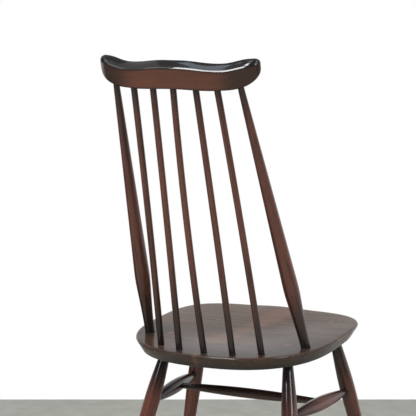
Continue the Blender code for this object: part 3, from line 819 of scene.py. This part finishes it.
def dress_post(name, number, material):
    foot, _ = back_line(number)
    head = head_end(number, CLEARANCE)
    below = meet_underside(foot, foot * 2 - head)
    start = below + (below - foot).normalized() * PAST
    place = axis_frame(start, head)
    base = (foot - start).length
    length = (head - start).length
    neck = length - RAIL_SOCKET_DEPTH
    swell_start, swell_end = base + POST_SWELL_START, base + POST_SWELL_END
    rise = SWELL_FULLNESS * (POST_SWELL_RADIUS - POST_FOOT_RADIUS) / POST_SWELL_START
    taper = (POST_HEAD_RADIUS - POST_SWELL_RADIUS) / (neck - swell_end)
    knots = ((base, POST_FOOT_RADIUS, 0), (swell_start, POST_SWELL_RADIUS, rise),
             (swell_end, POST_SWELL_RADIUS, taper), (neck, POST_HEAD_RADIUS, taper))
    shank = even_steps(base, neck, LONG_STEPS)[1:]
    profile = [(0, POST_FOOT_RADIUS)] + [(s, blend(knots, s)) for s in shank] + [(length, POST_HEAD_RADIUS)]
    edit = turned(profile, SOLID_POST_SIDES)
    saw(edit, place, below, -seat_plane_normal())
    stain_and_shade = bands((base, POST_FOOT_DARK), (neck, POST_HEAD_DARK))
    wear = bands(((swell_start + swell_end) / 2, POST_SWELL_WEAR))
    warmth = bands((swell_end + POST_WARM_ABOVE_SWELL, POST_WARM))
    bits = [kerf_bit(below, foot)]
    dress(name, edit, place, material, lengthwise, wear, stain_and_shade, warmth, bits)


def dress_stick(name, number, material):
    foot, _ = back_line(number)
    head = head_end(number, CLEARANCE)
    start = foot + (foot - head).normalized() * (STICK_SOCKET_DEPTH - CLEARANCE)
    length = (head - start).length
    neck = length - RAIL_SOCKET_DEPTH
    shank = neck - STICK_SOCKET_DEPTH
    taper = (STICK_HEAD_RADIUS - STICK_FOOT_RADIUS) / shank
    steps = even_steps(0, shank, LONG_STEPS)
    profile = [(STICK_SOCKET_DEPTH + s, STICK_FOOT_RADIUS + taper * s) for s in steps]
    profile = [(0, STICK_FOOT_RADIUS), *profile, (length, STICK_HEAD_RADIUS)]
    edit = turned(profile, SOLID_STICK_SIDES)

    def bow(along):
        share = clamp((along - STICK_SOCKET_DEPTH) / shank)
        return BOW_TO_LEFT[POST_PLACE - number] * 4 * share * (1 - share)

    for vertex in edit.verts:
        vertex.co.x += bow(vertex.co.z)

    def grain(point):
        return point.z, point.x - bow(point.z), point.y

    stain_and_shade = bands((STICK_SOCKET_DEPTH, STICK_FOOT_DARK), (neck, STICK_HEAD_DARK))
    wear = bands((neck / 2, STICK_MIDDLE_WEAR))
    middle = STICK_WARM_AT * neck
    warmth = bands((middle, (STICK_WARMTH[POST_PLACE - number], middle)))
    place = axis_frame(start, head)
    dress(name, edit, place, material, grain, wear, stain_and_shade, warmth)


# Seat and what stands under it


def dress_seat(material):
    bits = []
    tenons = []
    for side in (1, -1):
        for end in LEGS:
            top, foot = leg_line(end, side)
            run = (foot - top).normalized()
            through = meet_underside(top, foot)
            bits.append(drill(top - run * PAST, through + run * PAST, LEG_TENON_RADIUS))
            tenons += [top, through]
    for number in BACK_PLACES:
        foot, aim = back_line(number)
        run = (foot - aim).normalized()
        tenons.append(foot)
        bottom, radius = foot + run * STICK_SOCKET_DEPTH, STICK_FOOT_RADIUS
        if is_post(number):
            bottom, radius = meet_underside(foot, foot + run) + run * PAST, POST_FOOT_RADIUS
        bits.append(drill(foot - run * PAST, bottom, radius))

    def grain(point):
        return point.x, point.y, point.z

    def wear(point):
        reach, rim = reach_and_rim(point.x, point.y)
        return spot(hypot(rim - reach, seat_top(point.x, point.y) - point.z), SEAT_RIM_WEAR)

    def streak(point):
        return spot(point.x - SEAT_STREAK_AT, SEAT_STREAK_WARM) * beyond(point.y, SEAT_STREAK_FRONT_EDGE)

    def stain_and_shade(point):
        # Painted shade on the undercut sides and at the rear; dark joints round the tenons
        sides = SEAT_SIDE_PAINTED_SHADE * beyond(seat_top(point.x, point.y) - point.z, SEAT_SIDE_EDGE)
        joints = spot(min((point - tenon).length for tenon in tenons), SEAT_JOINT_DARK)
        rear = beyond(hypot(point.x, point.y), SEAT_REAR_OUTER_EDGE) * beyond(point.y, SEAT_REAR_FRONT_EDGE)
        return max(joints, sides, SEAT_REAR_PAINTED_SHADE * rear) * (1 - SEAT_STREAK_PALE * streak(point))

    def warmth(point):
        bend = SEAT_BAND_SLANT * point.y + SEAT_BAND_BEND * max(point.y - SEAT_BAND_BEND_FROM, 0) ** 2
        band = spot(point.x - bend, SEAT_BAND_WARM) * (1 - beyond(point.y, SEAT_BAND_REAR_EDGE))
        field = spot(hypot(point.x - SEAT_FIELD_AT[0], point.y - SEAT_FIELD_AT[1]), SEAT_FIELD_WARM)
        return max(band, field, streak(point))

    dress("seat", loft(seat_rings()), Matrix(), material, grain, wear, stain_and_shade, warmth, bits)


def dress_leg(name, end, side, material):
    top, foot = leg_line(end, side)
    run = (foot - top).normalized()
    start = top - run * PAST
    place = axis_frame(start, foot + run * PAST)
    length = (foot - start).length
    lean = sqrt(1 - run.z**2) / abs(run.z)
    neck = (meet_underside(top, foot) - start).length + 2 * LEG_TENON_RADIUS * lean
    joint = stretcher_joint(end, side)
    swell = (joint - start).length
    shin = length - LEG_SHIN_HEIGHT
    knots = (
        (neck, LEG_TENON_RADIUS, SWELL_FULLNESS * (LEG_SWELL_RADIUS - LEG_TENON_RADIUS) / (swell - neck)),
        (swell, LEG_SWELL_RADIUS, 0),
        (shin, LEG_SHIN_RADIUS, (LEG_FOOT_RADIUS - LEG_SWELL_RADIUS) / (length - swell)),
        (length, LEG_FOOT_RADIUS, (LEG_FOOT_RADIUS - LEG_SHIN_RADIUS) / LEG_SHIN_HEIGHT),
    )
    profile = [(0, LEG_TENON_RADIUS)] + [(s, blend(knots, s)) for s in even_steps(neck, length, LONG_STEPS)]
    profile.append((length + PAST, LEG_FOOT_RADIUS))
    edit = turned(profile, SOLID_LEG_SIDES)
    saw(edit, place, top, seat_top_normal(top.x, top.y))
    saw(edit, place, foot, -UP, FOOT_BEVEL)
    other = stretcher_joint("rear" if end == "front" else "front", side)
    along = (other - joint).normalized()
    bottom = joint - along * (STRETCHER_TENON_PAST_AXIS + CLEARANCE)
    mouth = joint + along * (LEG_SWELL_RADIUS + PAST)
    bits = [kerf_bit(top, foot), drill(bottom, mouth, STRETCHER_TENON_RADIUS)]
    entry = place.inverted() @ (joint + along * LEG_SWELL_RADIUS)
    wear = bands((PAST, LEG_TENON_WEAR), (swell, LEG_SWELL_WEAR), (length, LEG_FOOT_WEAR))

    def stain_and_shade(point):
        # Painted shade on the leg just below the seat; a darker joint round the stretcher's socket
        below_seat = spot(point.z - neck, LEG_PAINTED_SEAT_SHADE) if point.z > neck / 2 else 0
        return below_seat + spot((point - entry).length, LEG_SOCKET_DARK)

    def warmth(point):
        # Less red up towards the seat: painted shade, as the seat shades the legs' tops
        below_seat = ease((point.z - neck) / (swell - neck))
        return LEG_WARMTH[name.removesuffix("_leg")] * below_seat if point.z > neck / 2 else 1

    dress(name, edit, place, material, lengthwise, wear, stain_and_shade, warmth, bits)


def dress_rod(name, start, end, bury, past, tenon_radius, middle_radius, stain, material, bits=()):
    """A stretcher that swells between two pieces, with a round tenon that runs past the axis of each.
    stain gives how dark and how warm its middle is."""
    length = (end - start).length
    first, last = bury, length - bury
    profile = [(-past, tenon_radius)]
    for share in even_steps(0, 1, LONG_STEPS):
        radius = tenon_radius + (middle_radius - tenon_radius) * sin(pi * share)
        profile.append((first + (last - first) * share, radius))
    profile.append((length + past, tenon_radius))
    edit = turned(profile, SOLID_STRETCHER_SIDES)
    ends = bands((first, STRETCHER_END_DARK), (last, STRETCHER_END_DARK))

    def stain_and_shade(point):
        return max(stain[0], ends(point))

    wear = bands((length / 2, (STRETCHER_MIDDLE_WEAR, length / 4)))
    warmth = bands((length / 2, (stain[1], length / 2)))
    place = axis_frame(start, end)
    dress(name, edit, place, material, lengthwise, wear, stain_and_shade, warmth, bits)


def dress_stretchers(material):
    sides = ((1, "left", LEFT_STRETCHER_STAIN), (-1, "right", RIGHT_STRETCHER_STAIN))
    for side, hand, stain in sides:
        joint, other = cross_joint(side), cross_joint(-side)
        along = (other - joint).normalized()
        bottom = joint - along * (CROSS_TENON_PAST_AXIS + CLEARANCE)
        mouth = joint + along * (SIDE_STRETCHER_RADIUS + PAST)
        socket = drill(bottom, mouth, CROSS_TENON_RADIUS)
        dress_rod(f"{hand}_side_stretcher", stretcher_joint("rear", side), stretcher_joint("front", side),
                  LEG_SWELL_RADIUS, STRETCHER_TENON_PAST_AXIS, STRETCHER_TENON_RADIUS,
                  SIDE_STRETCHER_RADIUS, stain, material, [socket])
    dress_rod("cross_stretcher", cross_joint(1), cross_joint(-1), SIDE_STRETCHER_RADIUS,
              CROSS_TENON_PAST_AXIS, CROSS_TENON_RADIUS, CROSS_STRETCHER_RADIUS, CROSS_STRETCHER_SHADE_AND_STAIN,
              material)


# Materials


class Shading:
    """The nodes of a material or world, with short calls to add and join them."""

    def __init__(self, owner):
        owner.use_nodes = True
        self.owner = owner
        self.nodes = owner.node_tree.nodes
        self.links = owner.node_tree.links

    def add(self, kind, inputs=None, **settings):
        node = self.nodes.new(kind)
        for key, value in settings.items():
            setattr(node, key, value)
        return self.fill(node, inputs or {})

    def fill(self, node, inputs):
        for key, value in inputs.items():
            self.feed(node.inputs[key], value)
        return node

    def feed(self, socket, value):
        """A socket takes another node's output, or a plain value."""
        if isinstance(value, bpy.types.NodeSocket):
            self.links.new(value, socket)
        else:
            socket.default_value = value

    def attribute(self, name, output="Fac"):
        return self.add("ShaderNodeAttribute", attribute_name=name).outputs[output]

    def noise(self, place, scale, lift=(0, 0, 0), detail=3.0, roughness=0.55, distortion=0.0):
        """Noise that changes so often in a metre along each axis of a place, and is lifted from there."""
        stretched = self.add("ShaderNodeVectorMath", {0: place, 1: scale, 2: lift}, operation="MULTIPLY_ADD")
        inputs = {"Vector": stretched.outputs[0], "Scale": 1.0, "Detail": detail, "Roughness": roughness}
        return self.add("ShaderNodeTexNoise", {**inputs, "Distortion": distortion}).outputs["Fac"]

    def fade(self, value, span, full=1.0, empty=0.0):
        """Runs smoothly from empty to full over a span of the value, and stays there outside."""
        inputs = {0: value, 1: span[0], 2: span[1], 3: empty, 4: full}
        return self.add("ShaderNodeMapRange", inputs, interpolation_type="SMOOTHSTEP").outputs[0]

    def maths(self, operation, first, second=0.0, third=0.0):
        return self.add("ShaderNodeMath", {0: first, 1: second, 2: third}, operation=operation).outputs[0]

    def mix(self, share, first, second):
        inputs = {0: share, 6: self.opaque(first), 7: self.opaque(second)}
        return self.add("ShaderNodeMix", inputs, data_type="RGBA").outputs[2]

    def bump(self, height, relief, under=(0, 0, 0), **settings):
        """Relief of a strength and distance, over another one."""
        inputs = {"Height": height, "Strength": relief[0], "Distance": relief[1], "Normal": under}
        return self.add("ShaderNodeBump", inputs, **settings).outputs[0]

    def opaque(self, colour):
        """Gives a plain colour its fourth channel; another node's output stays as it is."""
        return colour if isinstance(colour, bpy.types.NodeSocket) else (*colour, 1.0)

    def surface(self, inputs):
        """Feeds a material's own shader and gives its output."""
        return self.fill(self.nodes["Principled BSDF"], inputs).outputs[0]

    def glow(self, colour):
        return self.add("ShaderNodeEmission", {"Color": self.opaque(colour)}).outputs[0]

    def show(self, shader):
        self.links.new(shader, self.nodes["Material Output"].inputs["Surface"])


def new_shading(name):
    return Shading(bpy.data.materials.new(name))


def stained_wood(name, stain, figure, patches, roughness, coat):
    """Stained and lacquered wood: long soft streaks, a ring figure, warm patches, fine pores, darker joints,
    painted shade and paler edges. figure and patches say how strong those patterns are."""
    darkest, dark, mid, warm, worn = stain
    make = new_shading(name)
    grain = make.attribute("grain", "Vector")
    wander = make.noise(grain, WANDER_SCALE, detail=2.0)
    streaks = make.noise(grain, STREAK_SCALE, detail=4.0, distortion=0.25)
    lift = make.add("ShaderNodeCombineXYZ", {1: make.maths("MULTIPLY", wander, RING_LIFT), 2: wander})
    rings = make.noise(grain, RING_SCALE, lift.outputs[0], detail=5.0, roughness=0.6, distortion=0.6)
    broad = make.noise(grain, PATCH_SCALE, detail=2.0, roughness=0.45)
    pores = make.noise(grain, PORE_SCALE, detail=1.0)
    colour = make.mix(make.fade(streaks, STREAK_RANGE), dark, mid)
    colour = make.mix(make.fade(rings, RING_RANGE, figure), colour, warm)
    colour = make.mix(make.fade(broad, PATCH_RANGE, patches), colour, warm)
    ragged = make.maths("MULTIPLY_ADD", rings, WARM_RAGGEDNESS, -WARM_RAGGEDNESS / 2)
    glow = make.fade(make.maths("ADD", make.attribute("warmth"), ragged), WARM_RANGE, WARM_SHARE)
    colour = make.mix(glow, colour, warm)
    colour = make.mix(make.fade(streaks, DARK_LINE_RANGE, 0.0, DARK_LINE_SHARE), colour, dark)
    pore_amount = make.fade(pores, PORE_RANGE, PORE_SHARE)
    colour = make.mix(pore_amount, colour, [channel * PORE_DARKNESS for channel in dark])
    patchy = make.fade(make.noise(grain, RUB_SCALE, detail=4.0), RUB_RANGE, RUB_SHARE)
    worn_share = make.maths("MULTIPLY", make.attribute("wear"), patchy)
    colour = make.mix(worn_share, colour, worn)
    # Towards the darkest stain at dark joints and darker stain, and for painted shade
    colour = make.mix(make.maths("MULTIPLY", make.attribute("stain_and_shade"), JOINT_STAIN_AND_SHADE_SHARE), colour, darkest)
    rough = make.maths("MULTIPLY_ADD", broad, PATCH_ROUGHENING, roughness - PATCH_ROUGHENING / 2)
    rough = make.maths("MULTIPLY_ADD", pore_amount, PORE_ROUGHENING, rough)
    rough = make.maths("MULTIPLY_ADD", worn_share, RUB_ROUGHENING, rough)
    make.surface({
        "Base Color": colour,
        "Roughness": rough,
        "Normal": wood_relief(make, grain, streaks, pores),
        "Specular IOR Level": 0.08,
        "Coat Weight": coat,
        "Coat Roughness": 0.12,
        "Coat IOR": 1.5,
    })
    return make.owner


def wood_relief(make, grain, streaks, pores):
    """Lacquer over wood: a slow waviness, the raised grain and sunken pores."""
    waves = make.bump(make.noise(grain, WAVE_SCALE, detail=2.0), WAVE_RELIEF)
    fibres = make.bump(streaks, FIBRE_RELIEF, waves)
    return make.bump(pores, PORE_RELIEF, fibres, invert=True)


def wedge_wood():
    """The pale wedges, which are small enough to take their pattern straight from their place."""
    make = new_shading("wedge_wood")
    dark, pale, stain = WEDGE_COLOURS
    place = make.add("ShaderNodeTexCoord").outputs["Object"]
    streaks = make.noise(place, WEDGE_STREAK_SCALE)
    blots = make.noise(place, WEDGE_BLOT_SCALE, detail=2.0)
    colour = make.mix(make.fade(streaks, (0.35, 0.65)), dark, pale)
    make.surface({
        "Base Color": make.mix(make.fade(blots, (0.45, 0.7), 0.6), colour, stain),
        "Roughness": make.fade(streaks, (0.3, 0.7), 0.5, 0.36),
        "Normal": make.bump(streaks, WEDGE_RELIEF),
        "Coat Weight": 0.6,
        "Coat Roughness": 0.2,
    })
    return make.owner


# Stage


def camera_axes():
    """The camera's right, up and forward directions."""
    level = cos(CAMERA_FALL)
    ahead = Vector((sin(CAMERA_TURN) * level, -cos(CAMERA_TURN) * level, -sin(CAMERA_FALL)))
    right = ahead.cross(UP).normalized()
    return right, right.cross(ahead), ahead


def make_camera():
    data = bpy.data.cameras.new("camera")
    data.sensor_width = CAMERA_SENSOR
    data.lens = CAMERA_LENS
    data.clip_start, data.clip_end = CAMERA_CLIP
    right, up, ahead = camera_axes()
    place = Matrix.Translation(CAMERA_PLACE) @ Matrix((right, up, -ahead)).transposed().to_4x4()
    bpy.context.scene.camera = link_object("camera", data, place)


def flat_sheet(name, near_end, far_end, left_end, right_end, height, material):
    """A level sheet between two distances from the camera along its line of sight, and two across it."""
    right, _, ahead = camera_axes()
    run = Vector((ahead.x, ahead.y, 0)).normalized()
    base = Vector((CAMERA_PLACE.x, CAMERA_PLACE.y, height))
    edit = bmesh.new()
    corners = ((near_end, left_end), (near_end, right_end), (far_end, right_end), (far_end, left_end))
    edit.faces.new([edit.verts.new(base + run * reach + right * side) for reach, side in corners])
    sheet = make_object(name, edit, Matrix())
    sheet.data.materials.append(material)
    return sheet


def reflection_card(name, far_end, left_end, right_end, colour):
    """A photographer's card on the floor past the chair, which only the chair's gloss shows."""
    make = new_shading(name)
    make.show(make.glow(colour))
    card = flat_sheet(name, CARD_NEAR_END, far_end, left_end, right_end, CARD_HEIGHT, make.owner)
    card.visible_camera = False
    card.visible_diffuse = False
    card.visible_shadow = False


def floor_paint():
    make = new_shading("floor_paint")
    place = make.add("ShaderNodeTexCoord").outputs["Object"]
    clouds = make.noise(place, FLOOR_CLOUD_SCALE, detail=5.0)
    colour = make.mix(make.fade(clouds, (0.3, 0.7)), *FLOOR_COLOURS)
    make.surface({"Base Color": colour, "Roughness": 0.7, "Specular IOR Level": 0.2})
    return make.owner


def backdrop_white():
    """White where it is seen, straight or in gloss, and matt paper to the light that falls on the chair."""
    make = new_shading("backdrop_white")
    paper = make.surface({"Base Color": (0.8, 0.8, 0.8, 1.0), "Roughness": 0.9, "Specular IOR Level": 0})
    path = make.add("ShaderNodeLightPath")
    seen = make.maths("MAXIMUM", path.outputs["Is Camera Ray"], path.outputs["Is Glossy Ray"])
    seen = make.maths("MAXIMUM", seen, path.outputs["Is Transmission Ray"])
    make.show(make.add("ShaderNodeMixShader", {0: seen, 1: paper, 2: make.glow(WHITE)}).outputs[0])
    return make.owner


def make_world():
    """A dim room on the camera's side; behind the chair a white wall, grey above and cooler overhead."""
    make = Shading(bpy.data.worlds.new("studio"))
    direction = make.add("ShaderNodeTexCoord").outputs["Generated"]
    rise = make.add("ShaderNodeSeparateXYZ", {0: direction}).outputs["Z"]
    climb, overhead = [make.fade(rise, [sin(radians(degree)) for degree in rises])
                       for rises in (UPPER_WALL_RISES, SKY_RISES)]
    wall = make.mix(climb, WHITE, make.mix(overhead, UPPER_WALL_COLOUR, SKY_COLOUR))
    turn = CAMERA_TURN - WALL_TURN
    facing = {0: direction, 1: (sin(turn), -cos(turn), 0)}
    facing = make.add("ShaderNodeVectorMath", facing, operation="DOT_PRODUCT").outputs["Value"]
    colour = make.mix(make.fade(facing, WALL_EDGE), ROOM_COLOUR, wall)
    make.feed(make.nodes["Background"].inputs["Color"], colour)
    bpy.context.scene.world = make.owner


def make_lamp(name, turn_deg, rise_deg, width, height, power, tint=WHITE):
    """A soft lamp aimed at the chair."""
    turn = radians(turn_deg) + CAMERA_TURN
    rise = radians(rise_deg)
    out = Vector((-sin(turn) * cos(rise), cos(turn) * cos(rise), sin(rise)))
    data = bpy.data.lights.new(name, "AREA")
    data.shape = "RECTANGLE"
    data.size = width
    data.size_y = height
    data.energy = power
    data.color = tint
    aimed = out.to_track_quat("Z", "Y").to_matrix().to_4x4()
    link_object(name, data, Matrix.Translation(LAMP_AIM + out * LAMP_DISTANCE) @ aimed)


def make_stage():
    flat_sheet("floor", FLOOR_END - FLOOR_SPAN, FLOOR_END, -FLOOR_SPAN, FLOOR_SPAN, 0, floor_paint())
    backdrop_end = FLOOR_END + FLOOR_SPAN
    flat_sheet("backdrop", FLOOR_END, backdrop_end, -FLOOR_SPAN, FLOOR_SPAN, 0, backdrop_white())
    for name, card in CARDS.items():
        reflection_card(name, *card)
    make_world()
    for name, lamp in LAMPS.items():
        make_lamp(f"{name}_lamp", *lamp)


def main():
    bpy.context.scene.view_settings.view_transform = "Standard"
    make_camera()
    frame_material = stained_wood("frame_wood", FRAME_STAIN, 0.4, 0.35, roughness=0.36, coat=0.8)
    rail_material = stained_wood("rail_wood", RAIL_STAIN, 0.3, 0.25, roughness=0.36, coat=0.8)
    seat_material = stained_wood("seat_wood", SEAT_STAIN, 0.25, 0.25, roughness=0.4, coat=0.76)
    dress_seat(seat_material)
    for side, hand in ((1, "left"), (-1, "right")):
        for end in LEGS:
            dress_leg(f"{end}_{hand}_leg", end, side, frame_material)
        dress_post(f"{hand}_back_post", POST_PLACE * side, frame_material)
    dress_stretchers(frame_material)
    for number in range(1, 2 * POST_PLACE):
        dress_stick(f"back_stick_{number}", POST_PLACE - number, frame_material)
    dress_top_rail(rail_material)
    wedge_material = wedge_wood()
    for name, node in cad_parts.items():
        if name.endswith("wedge"):
            node.data.materials.clear()
            node.data.materials.append(wedge_material)
    make_stage()


main()
